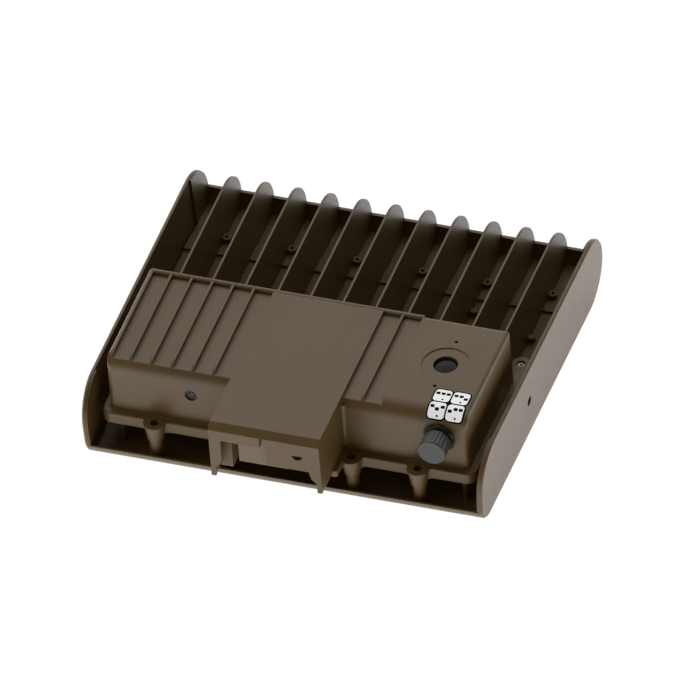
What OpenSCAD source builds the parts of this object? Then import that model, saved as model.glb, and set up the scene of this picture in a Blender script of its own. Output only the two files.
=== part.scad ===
// LED flood light, lying on its lens side: a finned die-cast housing between two
// rounded side plates, with a driver box on posts and an arm channel reaching out in front.
// Y runs from the front curve of the side plates to their far curve, Z upwards.

/* [Housing] */
// Width across the side plates at their lower edge
body_w = 340; // [320:1:380]
// Depth of the side plates, front curve to far curve
plate_len = 309; // [300:1:340]
// Height of the side plates and fins
plate_h = 68; // [64:1:74]
// Thickness of a side plate between its rounded ends
plate_t = 3.2; // [2.6:0.1:4.5]
// Extra thickness along the rounded ends of a side plate
plate_end_t = 1.6; // [0.8:0.1:2.4]
// Lean of the side plates outwards, in degrees
plate_lean = 2.9; // [1:0.1:4]
// Bevel around the outer edge of a side plate
plate_bevel = 1.2; // [0.6:0.1:1.6]
// Radius of the upper front curve of plates
front_r = 34; // [28:1:38]
// Radius of the lower front curve
toe_r = 20; // [16:1:24]
// Diameter of the hole in each side plate
side_hole_d = 8.6; // [6:0.1:10]
// Distance of the side holes behind the front curve
side_hole_y = 121.3; // [100:0.1:130]
// Height of the side holes
side_hole_z = 34.5; // [24:0.5:44]

/* [Fins and floor] */
// Distance from fin to fin
fin_pitch = 28; // [26:0.5:30]
// Thickness of a fin along its top
fin_top_t = 1.8; // [1.4:0.1:2.4]
// Thickness of a fin at the floor
fin_root_t = 3.2; // [2.6:0.1:4]
// Height of the finned floor
floor_z = 20; // [18:0.5:24]
// Thickness of the finned floor
floor_t = 4; // [3:0.5:6]
// Thickness of the low floor under the driver box
skin_t = 3.5; // [2.5:0.5:5]
// Height of the front lip
lip_h = 15; // [11:0.5:18]
// Thickness of the front lip
lip_t = 2; // [1.5:0.1:3]
// Height of the far wall
far_wall_h = 35; // [28:0.5:40]
// Thickness of the far wall
far_wall_t = 3; // [2:0.5:4]
// Width of the raised band that crosses the floor
band_w = 18; // [12:1:24]
// Height of that band
band_h = 2; // [1:0.5:3]

/* [Driver box] */
// Room between the driver box and the width of the body, on each side
box_room = 15; // [11:0.5:20]
// Length of the driver box
box_len = 115; // [108:1:120]
// Distance of its front wall behind the front curve
box_front = 21.4; // [20:0.1:26]
// Height of its top face
box_top = 96; // [88:1:104]
// Height of the top of its foot flange
flange_z = 42; // [40:1:46]
// Height of the foot flange itself
flange_h = 10; // [9:0.5:12]
// Reach of the foot flange beyond the back wall
flange_out = 4.5; // [3.5:0.5:6]
// Reach of the foot flange beyond the side walls
flange_side = 5.7; // [4:0.1:6]
// Reach of the foot flange beyond the front wall
flange_front = 7; // [5:0.5:8]
// Roll along the upper edge of the flange
flange_roll = 1.2; // [0.8:0.1:3]
// Bead along the foot of the walls
foot_bead = 1.2; // [0.6:0.1:2]
// Wall thickness of the box
box_wall = 3; // [2.5:0.1:4]
// Thickness of the roof below the strips
roof_t = 3.5; // [3:0.1:5]
// Depth of the strips sunk in the top
strip_depth = 3.5; // [2:0.1:4.5]
// Distance from rib to rib between the strips
rib_pitch = 17.75; // [16:0.25:20]
// Width of a rib
rib_t = 2.2; // [1.5:0.1:3]
// Roll of the upper front edge of the box
brow_r = 14; // [10:1:16]
// Roll of the top at the far wall
back_r = 6.5; // [5:0.5:9]
// Roll along the sides of the top
side_r = 4; // [2:0.5:6]
// Radius of the upright corners
corner_r = 5; // [3:0.5:6]
// Width of the rib along the breather side
side_rib_t = 4.6; // [2.2:0.1:6]
// Distance of the outer fixing ears from the sides of the box
ear_outer_in = 41.8; // [30:0.1:50]
// Distance of the inner fixing ears from the middle
ear_inner_x = 56; // [55:0.5:64]
// Diameter of a fixing ear at its top
ear_d = 18.5; // [17.5:0.5:22]
// Diameter of a rear corner ear
corner_ear_d = 16; // [14:0.5:17]
// Length of a fixing ear
ear_h = 16; // [14:0.5:17]
// Radius of the fillets beside a fixing ear
ear_fillet = 6; // [4:0.5:7]
// Thickness of the base plate that closes the box
base_t = 2; // [1.5:0.5:3]
// Thickness of the gasket on the base plate
seal_t = 1; // [0.8:0.1:1.5]

/* [Arm channel] */
// Width of the channel for the arm
channel_w = 95; // [90:1:98]
// Reach of the channel in front of the side plates
channel_out = 36.8; // [28:0.2:44]
// Chamfer along the upper front edge of the channel
channel_r = 5.4; // [3:0.1:7]
// Width of the pillars at the mouth
pillar_w = 9.8; // [8:0.2:11]
// Height of the beam above the mouth
beam_h = 9.8; // [8:0.2:12]
// Height of the closing plate at the mouth
slot_plate_h = 27.4; // [20:0.5:30]
// Bolt size for the arm, clearance diameter
arm_bolt_d = 8.4; // [6.4:0.1:10.5]
// Distance between the two arm bolts
arm_bolt_gap = 56; // [50:1:60]
// Diameter of the cable hole between them
cable_hole_d = 22; // [16:0.5:26]

/* [Controls] */
// Distance of the sensor opening from the right side of the box
sensor_in = 37.9; // [33:0.1:47]
// Diameter of the sensor opening
sensor_d = 20.4; // [16:0.1:24]
// Diameter of the shallow ring around it
sensor_ring_d = 40; // [34:0.5:44]
// Distance between the sensor screws
sensor_screw_gap = 55.4; // [50:0.1:60]
// Distance of the selector port from the right side of the box
port_in = 24; // [21:0.5:31]
// Distance of the selector port below the top of the box
port_drop = 23; // [20:0.5:26]
// Outside diameter of the port thread
port_d = 17.6; // [16:0.1:18]
// Rise of the thread in one turn
thread_rise = 1.5; // [1:0.25:2]
// Diameter of the selector cap
cap_d = 23.4; // [22.5:0.1:27]
// Length of the selector cap
cap_len = 15.5; // [14.5:0.5:20]
// Width across the flats of the port flange
hex_w = 25; // [23:0.5:28]
// Distance between the selector levers
lever_gap = 2.54; // [2:0.02:2.6]
// Travel of a selector lever
lever_travel = 1.6; // [1:0.1:1.8]
// Width of the setting label
label_w = 31; // [24:0.5:32]
// Diameter of the breather hole
vent_d = 10.6; // [8:0.1:12]
// Distance of the breather from the left side of the box
vent_in = 72; // [60:0.5:81]

/* [Lamp side] */
// Length of the lamp chamber along the depth
chamber_len = 134; // [120:1:136]
// Room between the lamp chamber and the width of the body, on each side
chamber_room = 11; // [10:0.5:20]
// Lenses along the width of one optic
lens_cols = 6; // [4:1:7]
// Lenses along the depth of one optic
lens_rows = 5; // [3:1:6]
// Diameter of a lens
lens_d = 17; // [12:0.5:18]
// Thickness of a lamp board
board_t = 1.6; // [1:0.1:2]
// Width of the frame around the optics
frame_rim = 9; // [7:0.5:12]
// Thickness of the frame
frame_t = 4; // [3:0.5:5]
// Width of the bar between the optics
frame_bar = 12; // [10:0.5:16]

/* [Hidden] */
$fn = 64;

// Named clearances
fit = 0.05;         // radial room of a running fit
gap = 0.3;          // room between pieces of different bodies and around loose inserts
over = 1;           // extra length of a cutting tool

// Colours
bronze = [0.36, 0.31, 0.25];
steel = [0.72, 0.73, 0.75];
black = [0.08, 0.08, 0.09];
rubber = [0.16, 0.16, 0.16];
white = [0.92, 0.92, 0.9];
clear = [0.85, 0.9, 0.95, 0.4];

// Places across the width
box_w = body_w - 2 * box_room;
chamber_w = body_w - 2 * chamber_room;
sensor_x = box_w / 2 - sensor_in;
port_x = box_w / 2 - port_in;
ear_outer_x = box_w / 2 - ear_outer_in;
vent_x = box_w / 2 - vent_in;

// Housing places
far_r = plate_h / 2;
box_back = box_front + box_len;
fin_start = box_back + flange_out + gap * 12;
plates_in = body_w / 2 - plate_t;
fin_side = floor((plates_in - 0.6 * fin_pitch) / fin_pitch);
slab_y = box_back - 14;
chamber_y = plate_len - far_r - 3 - chamber_len;
chamber_top = floor_z - floor_t;
band_y = plate_len - 48 - band_w;
boss_y = band_y + band_w;
boss_r = 4;
boss_h = 6;
boss_in = 27;
boss_ys = [boss_y, fin_start + boss_in];
boss_pick = [for (k = [-fin_side : 2 : fin_side]) k * fin_pitch + fin_root_t / 2 + boss_r - 1.4];

lead_x = fin_pitch / 2;
lead_r = 3.6;
lead_y = chamber_y - 3 * lead_r + 0.2;
lead_z = floor_z - 8;

// Box places
strip_top = box_top - strip_depth;
flange_bottom = flange_z - flange_h;
base_top = flange_bottom - seal_t;
base_bottom = base_top - base_t;
box_mid_y = box_front + box_len / 2;
inner_top = strip_top - roof_t;
inner_w = box_w - 2 * box_wall;
inner_len = box_len - 2 * box_wall;
rim_r = 2.6;
rib_first = channel_w / 2 + rib_pitch - rib_t / 2;
plain_x = rib_first + rib_pitch - rib_t / 2;
rib_count = floor((box_w / 2 - rib_first) / rib_pitch);
ear_y = box_front - flange_front - 1.9;
ear_top = flange_z;
ear_bottom = ear_top - ear_h;
ear_back_y = box_back + flange_out + 3.5;
corner_y = ear_back_y + 11;
corner_x = box_w / 2 - 1.4;
ears = concat([for (x = [-ear_outer_x, -ear_inner_x, ear_inner_x, ear_outer_x]) [x, ear_y, ear_d]],
    [for (s = [-1, 1]) [s * 1.5 * fin_pitch, ear_back_y, ear_d]],
    [for (s = [-1, 1]) [s * corner_x, corner_y, corner_ear_d]]);
post_r = 5.5;
ear_screw_r = 2;
ear_head_r = 3.4;
ear_sink = 10;
corner_sink = 4.5;
tie_xs = [-box_w / 2 + 9, -channel_w / 2 - 7, channel_w / 2 + 7, box_w / 2 - 9];
tie_ys = [box_front + 30, box_back - 30];
tie_r = 4.5;
tie_screw_r = 1.5;

// Channel places
channel_y = -channel_out;
channel_in = channel_w - 2 * box_wall;
mouth_w = channel_w - 2 * pillar_w;
mouth_top = box_top - channel_r - beam_h;
slot_z = box_top - channel_r - slot_plate_h;
slit_x = -2.3;
leg_r = 14.8;
slot_plate_t = 2.4;
slot_screw_zs = [slot_z + 5, box_top - channel_r - 5.5];
bracket_y = 2;
bracket_t = 3;
bracket_arm = 34;
bracket_top = inner_top - 3;
bracket_low = flange_z + 1;
arm_bolt_z = (bracket_low + slot_z) / 2 + 3;
bracket_xs = [-channel_in / 2 + 14.5, channel_in / 2 - 14.5];
bracket_fix_y = bracket_y + bracket_t + 22;

// Places of what stands in the box
terminal = [42, 22, 17];
terminal_gap = 17;
driver_room = 22;
driver_h = inner_top - base_top - driver_room;
surge = [38, 30, 24];
surge_in = 36;

// Control places
sensor_front = 61.1;
sensor_y = box_front + sensor_front;
dome_r = 30;
roof_bottom = inner_top;
port_wall = box_front;
port_z = box_top - port_drop;
port_seal_t = 2.5;
hex_t = 2;
cap_seal_t = 1.5;
hex_y = port_wall - port_seal_t - hex_t;
cap_y = hex_y - cap_seal_t;
spigot_len = 8.9;
spigot_end = hex_y - spigot_len;
port_bore = 13.6;
switch_w = 9;
switch_h = 7;
switch_t = 4.5;
lever_h = 1.5;
lever_w = 1.3;
switch_y = spigot_end + 2.6;
board_y = switch_y + switch_t;
label_front = 31;
label_top_y = box_front + label_front;
label_mid_x = sensor_x + 18;
label_t = 0.3;
label_lift = 0.1;
label_turn = 61;

// Lamp places
chamber_mid = chamber_y + chamber_len / 2;
board_w = (chamber_w - frame_bar - 2 * frame_rim) / 2;
board_len = chamber_len - 2 * frame_rim + 4;
board_x = (board_w + frame_bar) / 2 + 2;
board_z = chamber_top - board_t;
chip_t = 0.7;
optic_t = 2.6;
optic_low = board_z - 2 - optic_t;
optic_w = board_w + 6;
optic_len = board_len;
optic_x = board_x;
lens_sag = 4.6;
gasket_t = 1;
frame_top = optic_low - gasket_t;
frame_low = frame_top - frame_t;
col_gap = (board_w - 12) / lens_cols;
row_gap = (board_len - 12) / lens_rows;
lens_xs = [for (i = [0 : lens_cols - 1]) (i - (lens_cols - 1) / 2) * col_gap];
lens_ys = [for (j = [0 : lens_rows - 1]) chamber_mid + (j - (lens_rows - 1) / 2) * row_gap];
frame_xs = [-chamber_w / 2 + 4.5, -chamber_w / 6 - 2, chamber_w / 6 + 2, chamber_w / 2 - 4.5];
frame_ys = [chamber_y + 4.5, chamber_y + chamber_len - 4.5];
frame_screw_r = 1.5;

// Height of the seat under the head of an ear screw
function head_z(e) = ear_top - (e[2] == corner_ear_d ? corner_sink : ear_sink);

// The origin lies under the middle of the whole outline
module placed() {
    translate([0, (channel_out - plate_len) / 2, 0]) children();
}

module both_sides() {
    children();
    mirror([1, 0, 0]) children();
}

// A Y-Z section drawn along X, from x0 to x1
module along_x(x0, x1) {
    translate([x0, 0, 0]) rotate([90, 0, 90]) linear_extrude(x1 - x0) children();
}

// A cylinder along Y
module y_rod(r, y0, y1, x = 0, z = 0) {
    translate([x, y1, z]) rotate([90, 0, 0]) cylinder(r = r, h = y1 - y0);
}

module block(x0, x1, y0, y1, z0, z1) {
    translate([x0, y0, z0]) cube([x1 - x0, y1 - y0, z1 - z0]);
}

// Outline of the side plates and fins in Y and Z
module side_outline(inset = 0) {
    translate([front_r, inset]) square([plate_len - far_r - front_r, plate_h - 2 * inset]);
    translate([plate_len - far_r, far_r]) circle(r = far_r - inset);
    translate([front_r, plate_h - front_r]) intersection() {
        circle(r = front_r - inset);
        translate([-front_r, 0]) square([2 * front_r, front_r]);
    }
    translate([toe_r, toe_r]) intersection() {
        circle(r = toe_r - inset);
        translate([-toe_r, -toe_r]) square([2 * toe_r, toe_r]);
    }
    translate([inset, toe_r]) square([front_r, plate_h - front_r - toe_r]);
    translate([toe_r, inset]) square([front_r, toe_r]);
}

module side_plate() {
    translate([body_w / 2, 0, 0]) rotate([0, plate_lean, 0]) rotate([90, 0, 90])
        translate([0, 0, -plate_t]) difference() {
            union() {
                hull() {
                    linear_extrude(plate_t - plate_bevel) side_outline();
                    linear_extrude(plate_t) side_outline(plate_bevel);
                }
                translate([0, 0, -plate_end_t]) linear_extrude(plate_end_t + plate_t / 2)
                    plate_end_outline();
            }
            translate([side_hole_y, side_hole_z, -over])
                cylinder(d = side_hole_d, h = plate_t + 2 * over);
        }
}

module plate_end_outline() {
    intersection() {
        side_outline(plate_bevel / 2);
        union() {
            square([front_r + 1, plate_h]);
            translate([plate_len - far_r, 0]) square([far_r, plate_h]);
        }
    }
}

// Lip, low floor, finned floor and far wall as one section
module pan_outline() {
    intersection() {
        difference() {
            side_outline();
            side_outline(lip_t);
        }
        square([toe_r, lip_h]);
    }
    intersection() {
        side_outline();
        union() {
            translate([toe_r / 2, 0]) square([slab_y, skin_t]);
            translate([slab_y, 0]) square([plate_len, floor_z]);
            translate([band_y, 0]) square([band_w, floor_z + band_h]);
        }
    }
    intersection() {
        difference() {
            side_outline();
            side_outline(far_wall_t);
        }
        translate([plate_len - far_r, 0]) square([far_r, far_wall_h]);
    }
}

module fin_bars() {
    for (k = [-fin_side : fin_side])
        translate([k * fin_pitch, plate_len, floor_z - over]) rotate([90, 0, 0])
            linear_extrude(plate_len - fin_start)
                polygon([[-fin_root_t / 2, 0], [fin_root_t / 2, 0],
                    [fin_top_t / 2, plate_h - floor_z + over], [-fin_top_t / 2, plate_h - floor_z + over]]);
}

module heat_sink_housing() {
    color(bronze) placed() difference() {
        union() {
            both_sides() side_plate();
            along_x(-plates_in - 0.4, plates_in + 0.4) pan_outline();
            intersection() {
                along_x(-plates_in, plates_in) side_outline();
                union() {
                    fin_bars();
                    for (e = ears) translate([e[0], e[1], 0]) cylinder(r = post_r, h = ear_bottom);
                }
            }
            both_sides() translate([box_w / 2 - 7.7, box_front + 6.3, 1])
                cylinder(r = 2.5, h = base_bottom - 1);
            for (x = boss_pick, y = boss_ys) translate([x, y, floor_z - over])
                cylinder(r = boss_r, h = boss_h + over);
            translate([boss_pick[fin_side], boss_y - 54, floor_z - over]) cylinder(r = 3, h = boss_h);
            translate([boss_pick[fin_side - 1], boss_y - 35, floor_z - over]) cylinder(r = 3, h = boss_h);
        }
        block(-chamber_w / 2, chamber_w / 2, chamber_y, chamber_y + chamber_len, -over, chamber_top);
        for (e = ears) translate([e[0], e[1], ear_bottom - 9]) cylinder(r = ear_screw_r - fit, h = 9 + over);
        for (x = boss_pick, y = boss_ys) translate([x, y, chamber_top - over])
            cylinder(r = frame_screw_r - fit, h = boss_h + floor_t + 2 * over);
        for (x = frame_xs, y = frame_ys) translate([x, y, chamber_top - over])
            cylinder(r = frame_screw_r - fit, h = floor_t - 1 + over);
        translate([lead_x, lead_y, lead_z - over]) cylinder(r = lead_r, h = floor_z - lead_z + 2 * over);
        block(lead_x - lead_r, lead_x + lead_r, lead_y - lead_r, chamber_y + over, lead_z - 6, lead_z);
    }
}

// Section of the box in Y and Z with its own rolls at the front and at the back
module box_outline(top, r_front, r_back) {
    low = flange_bottom;
    translate([box_front, low]) square([box_len, top - low - max(r_front, r_back)]);
    translate([box_front + r_front, low]) square([box_len - r_front - r_back, top - low]);
    translate([box_front, low]) square([r_front, top - low - r_front]);
    translate([box_back - r_back, low]) square([r_back, top - low - r_back]);
    translate([box_front + r_front, top - r_front]) circle(r = r_front);
    translate([box_back - r_back, top - r_back]) circle(r = r_back);
}

// The sunk strips end at a narrow rim along the far edge
module strip_outline() {
    intersection() {
        box_outline(box_top, brow_r, rim_r);
        translate([box_front, flange_bottom]) square([box_len, strip_top - flange_bottom]);
    }
    translate([box_back - rim_r, box_top - rim_r]) circle(r = rim_r);
    polygon([[box_back - rim_r - 0.7 * strip_depth, strip_top - over], [box_back - rim_r, box_top],
        [box_back - rim_r, strip_top - over]]);
    translate([box_back - rim_r, strip_top - rim_r]) square([rim_r, rim_r + strip_depth - rim_r]);
}

// The upper front edge of the channel is a plain chamfer
module channel_outline() {
    polygon([[channel_y, flange_z], [channel_y, box_top - channel_r], [channel_y + channel_r, box_top],
        [box_back - back_r, box_top], [box_back - back_r, flange_z]]);
    translate([box_back - back_r - over, flange_z]) square([back_r + over, box_top - flange_z - back_r]);
    translate([box_back - back_r, box_top - back_r]) circle(r = back_r);
}

// Section of the space inside, which keeps the wall's thickness behind the rolled brow
module inner_outline() {
    inner_r = brow_r - box_wall;
    y = box_front + brow_r;
    low = flange_bottom - over;
    intersection() {
        translate([box_front + box_wall, low]) square([inner_len, inner_top - low]);
        union() {
            translate([y, low]) square([box_len, box_top - low]);
            translate([box_front, low]) square([brow_r + over, box_top - brow_r - low]);
            translate([y, box_top - brow_r]) circle(r = inner_r);
        }
    }
}

// Rounded section across the width, for the rolls along the sides
module cross_outline(w, h, r) {
    translate([-w / 2, 0]) square([w, h - r]);
    translate([-w / 2 + r, 0]) square([w - 2 * r, h]);
    for (s = [-1, 1]) translate([s * (w / 2 - r), h - r]) circle(r = r);
}

module corner_turn(rc, h, rt) {
    rotate_extrude() {
        square([rc, h - rt]);
        square([rc - rt, h]);
        translate([rc - rt, h - rt]) intersection() {
            circle(r = rt);
            square(rt);
        }
    }
}

// A slab with rounded corners and a rolled upper edge
module rolled_slab(w, l, h, rc, rt) {
    for (sx = [-1, 1], sy = [-1, 1])
        translate([sx * (w / 2 - rc), sy * (l / 2 - rc), 0]) corner_turn(rc, h, rt);
    translate([-(w / 2 - rc), 0, 0]) rotate([90, 0, 90]) linear_extrude(w - 2 * rc) cross_outline(l, h, rt);
    translate([0, l / 2 - rc, 0]) rotate([90, 0, 0]) linear_extrude(l - 2 * rc) cross_outline(w, h, rt);
}

// Upright prism with rounded corners
module round_block(w, l, h, r) {
    linear_extrude(h) {
        square([w - 2 * r, l], center = true);
        square([w, l - 2 * r], center = true);
        for (sx = [-1, 1], sy = [-1, 1]) translate([sx * (w / 2 - r), sy * (l / 2 - r)]) circle(r = r);
    }
}

// A tapered boss; the front ones run into the flange with fillets on both sides
module ear(e) {
    translate([e[0], e[1], ear_bottom]) cylinder(d1 = 0.73 * e[2], d2 = e[2], h = ear_h);
    if (e[1] < box_front) {
        edge = box_front - flange_front;
        neck = 0.4 * e[2];
        reach = sqrt(pow(neck + ear_fillet, 2) - pow(e[1] - edge + ear_fillet, 2));
        low = (e[1] - edge + ear_fillet) * ear_fillet / (neck + ear_fillet) - 0.5;
        translate([e[0], edge - ear_fillet, flange_bottom]) linear_extrude(flange_h) difference() {
            translate([-reach, low]) square([2 * reach, ear_fillet + 1 - low]);
            for (s = [-1, 1]) translate([s * reach, 0]) circle(r = ear_fillet);
        }
    }
    if (e[1] > box_back) block(e[0] - 0.4 * e[2], e[0] + 0.4 * e[2], box_back, e[1], flange_bottom, ear_top);
}

module ear_bore(e) {
    translate([e[0], e[1], ear_bottom - over]) cylinder(r = ear_screw_r + 0.2, h = ear_h + 2 * over);
    translate([e[0], e[1], head_z(e)]) cylinder(r = ear_head_r + 0.2, h = flange_z - head_z(e));
}

module box_skin() {
    intersection() {
        union() {
            along_x(-box_w / 2, plain_x + over) strip_outline();
            along_x(-box_w / 2, -box_w / 2 + side_rib_t) box_outline(box_top, brow_r, back_r);
            for (i = [0 : rib_count]) along_x(-rib_first - i * rib_pitch - rib_t / 2,
                -rib_first - i * rib_pitch + rib_t / 2) box_outline(box_top, brow_r, back_r);
            along_x(rib_first - rib_t / 2, rib_first + rib_t / 2) box_outline(box_top, brow_r, back_r);
            along_x(plain_x, box_w / 2) box_outline(box_top, brow_r, back_r);
            y_rod(15, port_wall, port_wall + 15, port_x, port_z);
        }
        translate([0, box_back + over, 0]) rotate([90, 0, 0])
            linear_extrude(box_len + 2 * over) cross_outline(box_w, box_top, side_r);
        translate([0, box_mid_y, 0]) round_block(box_w, box_len, box_top, corner_r);
    }
}

// Strip along the lower edge of a channel wall, between its front end and the flange
module channel_foot() {
    foot_y = channel_y + 26.6;
    block(channel_w / 2 - 1, channel_w / 2 + 3.7, foot_y + 2, box_front, flange_z - 4, flange_z + 2);
    translate([channel_w / 2 + 1.7, foot_y + 2, flange_z - 4]) cylinder(r = 2, h = 6);
    block(channel_w / 2 - 1, channel_w / 2 + 1.7, foot_y, box_front, flange_z - 4, flange_z + 2);
}

// Fillet where the channel wall meets the front wall of the box
module root_fillet(r) {
    translate([channel_w / 2, box_front, flange_z]) linear_extrude(box_top - flange_z - 0.55 * brow_r)
        difference() {
            translate([-over, -r]) square([r + over, r + over]);
            translate([r, -r]) circle(r = r);
        }
}

module driver_box() {
    color(bronze) placed() difference() {
        union() {
            box_skin();
            along_x(-channel_w / 2, channel_w / 2) channel_outline();
            translate([0, box_mid_y + (flange_out - flange_front) / 2, flange_bottom])
                rolled_slab(box_w + 2 * flange_side, box_len + flange_out + flange_front,
                    flange_h, 9, flange_roll);
            translate([0, box_mid_y, flange_z - over])
                round_block(box_w + 2 * foot_bead, box_len + 2 * foot_bead, foot_bead + 0.3, corner_r + 1);
            for (e = ears) ear(e);
            both_sides() channel_foot();
            both_sides() root_fillet(3);
        }
        compartments();
        channel_space();
        channel_mouth();
        for (e = ears) ear_bore(e);
        sensor_holes();
        for (z = slot_screw_zs) y_rod(1.4 + fit, channel_y + box_wall - 1.6, channel_y + box_wall + over,
            mouth_w / 2 + 3.4, z);
        y_rod(vent_d / 2, box_front - over, box_front + box_wall + over, -vent_x, port_z - 3);
        y_rod(port_d / 2 + 0.2, port_wall - over, port_wall + 16, port_x, port_z);
        for (x = tie_xs, y = tie_ys) translate([x, y, flange_bottom - over])
            cylinder(r = tie_screw_r - fit, h = 12 + over);
        for (x = bracket_xs) translate([x, bracket_fix_y, bracket_top - over])
            cylinder(r = 2, h = inner_top - bracket_top + 4);
    }
}

// The two closed spaces beside the channel, with pillars for the base plate screws
module compartments() {
    difference() {
        both_sides() along_x(channel_w / 2, inner_w / 2) inner_outline();
        for (x = tie_xs, y = tie_ys) translate([x, y, 0]) cylinder(r = tie_r, h = inner_top + over);
        y_rod(15, port_wall, port_wall + 8, port_x, port_z);
    }
    for (x = [-1, 1]) translate([x * channel_w / 2, box_mid_y, flange_z + 8]) rotate([0, 90, 0])
        cylinder(r = bush_r, h = 3 * box_wall, center = true);
}

bush_r = 6;

module channel_space() {
    difference() {
        block(-channel_in / 2, channel_in / 2, channel_y + box_wall, box_back - box_wall,
            flange_bottom - over, inner_top);
        block(-channel_in / 2, channel_in / 2, box_front - flange_front, box_front, 0, flange_z);
        for (x = bracket_xs) translate([x, bracket_fix_y, bracket_top]) cylinder(r = 5, h = 9);
        both_sides() block(channel_in / 2 - 11, channel_in / 2 + over, channel_y + 14,
            channel_y + 30, flange_z, inner_top + over);
    }
}

// The open front: high on the left, lower on the right, with a slit between them and a knock-out hole
module channel_mouth() {
    block(-mouth_w / 2, slit_x, channel_y - over, channel_y + box_wall + over, 0, mouth_top);
    block(slit_x - over, mouth_w / 2, channel_y - over, channel_y + box_wall + over, 0, slot_z);
    block(slit_x - 1.5, slit_x + 3.5, channel_y - over, channel_y + box_wall + over,
        slot_z, box_top - channel_r - 0.2);
    knock_out(channel_y - over, box_wall + 2 * over);
    both_sides() translate([0, channel_y + box_wall + over, 0]) rotate([90, 0, 0])
        linear_extrude(box_wall + 2 * over) difference() {
            translate([mouth_w / 2 - over, 0]) square([channel_in / 2 - mouth_w / 2, slot_z]);
            translate([mouth_w / 2 + leg_r, slot_z]) circle(r = leg_r);
        }
}

// Half round hole with a level upper edge
module knock_out(y, depth) {
    translate([mouth_w / 2 - 9.5, y + depth, slot_z + 15.5]) rotate([90, 0, 0]) linear_extrude(depth)
        intersection() {
            circle(r = 4.7);
            translate([-5, -5]) square([10, 4.6]);
        }
}

module sensor_holes() {
    translate([sensor_x, sensor_y, box_top - 0.8]) cylinder(d = sensor_ring_d, h = over);
    translate([sensor_x, sensor_y, roof_bottom - over]) cylinder(d = sensor_d, h = 20);
    for (s = [-1, 1]) translate([sensor_x, sensor_y + s * sensor_screw_gap / 2, box_top - 5])
        cylinder(r = 1.5, h = 5 + over);
}

// Room for the ears in the sheets under the flange
module ear_notches() {
    for (e = ears) translate([e[0], e[1], 0]) cylinder(d = e[2] - 3, h = flange_bottom + over);
}

module box_gasket() {
    color(rubber) placed() difference() {
        translate([0, box_mid_y, base_top]) round_block(box_w - 0.6, box_len - 0.6, seal_t, 4);
        for (s = [-1, 1]) translate([s * (inner_w / 2 + channel_w / 2) / 2, box_mid_y, 0])
            round_block(inner_w / 2 - channel_w / 2 - 2 * tie_r - 4, inner_len - 1, flange_z, 3);
        translate([0, box_mid_y, 0]) round_block(channel_in - 1, inner_len - 1, flange_z, 3);
        for (x = tie_xs, y = tie_ys) translate([x, y, 0]) cylinder(r = tie_screw_r + 0.2, h = flange_z);
        ear_notches();
    }
}

module box_base_plate() {
    color(bronze) placed() difference() {
        translate([0, box_mid_y, base_bottom]) round_block(box_w - 1, box_len - 1, base_t, 4);
        for (x = tie_xs, y = tie_ys) translate([x, y, base_bottom - over])
            cylinder(r = tie_screw_r + 0.2, h = base_t + 2 * over);
        translate([lead_x, lead_y, base_bottom - over]) cylinder(r = lead_r, h = base_t + 2 * over);
        ear_notches();
    }
}

// A screw that stands head down, its head under z
module screw_up(x, y, z, r, grip, head_r, head_h) {
    translate([x, y, z]) cylinder(r = r, h = grip);
    translate([x, y, z - head_h]) difference() {
        cylinder(r = head_r, h = head_h);
        translate([0, 0, -over]) cylinder(r = 0.45 * head_r, h = over + head_h / 2, $fn = 6);
    }
}

// A screw that stands head up, its head on z
module screw_down(x, y, z, r, grip, head_r, head_h) {
    translate([x, y, z - grip]) cylinder(r = r, h = grip);
    translate([x, y, z]) difference() {
        cylinder(r = head_r, h = head_h);
        translate([0, 0, head_h / 2]) cylinder(r = 0.45 * head_r, h = head_h, $fn = 6);
    }
}

module base_plate_screws() {
    color(steel) placed() for (x = tie_xs, y = tie_ys)
        screw_up(x, y, base_bottom, tie_screw_r - fit, base_t + seal_t + 8, 3, 2);
}

module ear_screws() {
    color(steel) placed() {
        for (e = ears) screw_down(e[0], e[1], head_z(e), ear_screw_r - fit,
            head_z(e) - ear_bottom + 8, ear_head_r, 3);
    }
}

// Sheet behind the front wall that closes the slit and part of the mouth
module arm_slot_plate() {
    y = channel_y + box_wall;
    color(bronze) placed() difference() {
        union() {
            block(slit_x - 21, slit_x + 20, y, y + slot_plate_t, slot_z - 3.2, inner_top - gap);
            block(slit_x + 19, channel_in / 2 - gap, y, y + slot_plate_t, slot_z + 1, inner_top - gap);
        }
        knock_out(y - over, slot_plate_t + 2 * over);
        for (z = slot_screw_zs) y_rod(1.7, y - over, y + 12, mouth_w / 2 + 3.4, z);
    }
}

module slot_plate_screws() {
    color(steel) placed() for (z = slot_screw_zs)
        translate([mouth_w / 2 + 3.4, channel_y + box_wall + slot_plate_t, z]) rotate([-90, 0, 0]) {
            cylinder(r = 2.6, h = 1.8);
            translate([0, 0, -slot_plate_t - 1.5]) cylinder(r = 1.4, h = slot_plate_t + 1.5);
        }
}

module arm_bracket() {
    top = bracket_top;
    half = channel_in / 2 - gap;
    color(bronze) placed() difference() {
        union() {
            block(-half, half, bracket_y, bracket_y + bracket_t, bracket_low, top);
            block(-half, half, bracket_y, bracket_y + bracket_arm, top - bracket_t, top);
            both_sides() translate([half - bracket_t, bracket_y + 1, top]) rotate([90, 0, 90])
                linear_extrude(bracket_t) polygon([[0, 0], [bracket_arm - 2, 0], [0, -(top - bracket_low)]]);
        }
        for (s = [-1, 1]) y_rod(arm_bolt_d / 2, bracket_y - over, bracket_y + bracket_t + over,
            s * arm_bolt_gap / 2, arm_bolt_z);
        y_rod(cable_hole_d / 2, bracket_y - over, bracket_y + bracket_t + over, 0, arm_bolt_z + 4);
        for (x = bracket_xs) translate([x, bracket_fix_y, top - bracket_t - over])
            cylinder(r = 2.2, h = bracket_t + 2 * over);
    }
}

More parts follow.
